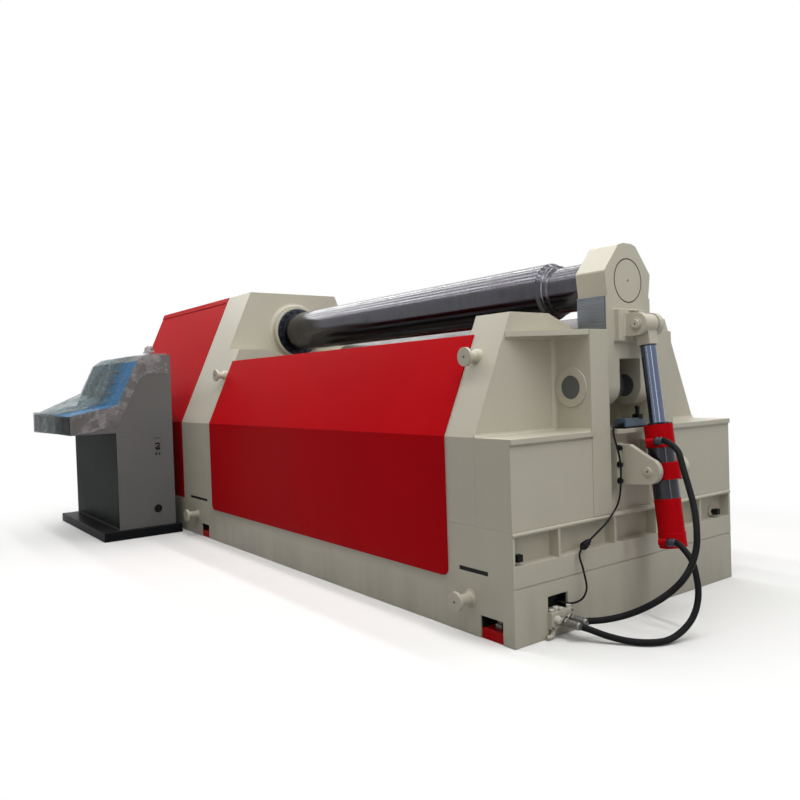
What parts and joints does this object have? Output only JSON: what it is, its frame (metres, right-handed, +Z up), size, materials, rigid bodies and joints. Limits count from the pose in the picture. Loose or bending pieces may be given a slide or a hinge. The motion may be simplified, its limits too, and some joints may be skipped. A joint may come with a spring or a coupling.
{
  "type": "four-roll plate rolling machine",
  "caption": "Hydraulic plate rolling machine: welded frame, driven rolls, a drop-end yoke tilted by a cylinder so that a rolled shell can be drawn off, and a free-standing control console.",
  "frame": {"origin": "on the floor under the middle of the welded frame, below the rolls", "axes": "+X along the rolls towards the drop end, -Y to the front where the console stands, +Z up"},
  "size_m": [4.9799, 2.295, 1.65],
  "materials": {
    "frame_paint": "semi-gloss",
    "red_paint": "gloss",
    "roll_steel": "ground",
    "dark_steel": "dark",
    "guide_steel": "machined",
    "rod_chrome": "polished",
    "barrel_black": "gloss",
    "hose_rubber": "matte",
    "switch_plastic": "matte",
    "console_paint": "satin",
    "plinth_paint": "satin"
  },
  "bodies": {
    "frame": {"base_frame": "frame_paint", "drive_base": "frame_paint", "right_side_frame": "frame_paint", "front_end_box": "frame_paint", "rear_end_box": "frame_paint", "slot_back": "frame_paint", "front_cheek": "frame_paint", "rear_cheek": "frame_paint", "gusset_shelves": "frame_paint", "tall_left_frame": "frame_paint", "left_side_frame": "frame_paint", "front_panel": "red_paint", "rear_panel": "red_paint", "drive_cover": "red_paint", "lifting_pins": "frame_paint", "levelling_feet": "red_paint", "left_bearing": "dark_steel", "bottom_bearing": "frame_paint", "front_side_roll": "roll_steel", "rear_side_roll": "roll_steel", "pivot_pins": "dark_steel", "front_trunnion_bracket": "frame_paint", "rear_trunnion_bracket": "frame_paint", "sensor_shelf": "frame_paint", "limit_switch": "switch_plastic", "valve_block": "frame_paint", "upper_hose": "hose_rubber", "lower_hose": "hose_rubber", "sensor_cable": "hose_rubber", "console_plinth": "plinth_paint", "console_pedestal": "console_paint", "console_desk": "console_paint", "console_switch": "switch_plastic"},
    "top_roll": {"top_roll": "roll_steel"},
    "bottom_roll": {"bottom_roll": "roll_steel"},
    "yoke": {"yoke": "frame_paint", "yoke_cap": "frame_paint", "yoke_guides": "guide_steel", "clevis_pin": "frame_paint"},
    "cylinder": {"cylinder_barrel": "barrel_black", "cylinder_head": "red_paint", "trunnion_ring": "red_paint", "cylinder_tail": "red_paint"},
    "rod": {"piston_rod": "rod_chrome", "rod_eye": "frame_paint"}
  },
  "joints": [
    {"name": "top_roll_spin", "type": "hinge", "parent": "frame", "child": "top_roll", "pos_m": [0, 0, 1.374], "axis": [1, 0, 0], "continuous": true},
    {"name": "bottom_roll_spin", "type": "hinge", "parent": "frame", "child": "bottom_roll", "pos_m": [0, 0, 0.939], "axis": [1, 0, 0], "continuous": true},
    {"name": "yoke_tilt", "type": "hinge", "parent": "frame", "child": "yoke", "pos_m": [1.508, 0, 0.937], "axis": [0, 1, 0], "range_deg": [0, 55]},
    {"name": "cylinder_swing", "type": "hinge", "parent": "frame", "child": "cylinder", "pos_m": [1.74, 0, 0.595], "axis": [0, 1, 0], "range_deg": [0, 18.45], "deforming": ["upper_hose", "lower_hose"]},
    {"name": "rod_slide", "type": "slide", "parent": "cylinder", "child": "rod", "axis": [-0.116, 0, 0.9933], "range_m": [-0.2305, 0]}
  ],
  "couplings": [
    {"joint": "cylinder_swing", "follows": "yoke_tilt", "ratio": 0.3347},
    {"joint": "rod_slide", "follows": "yoke_tilt", "m_per_rad": -0.23953}
  ]
}
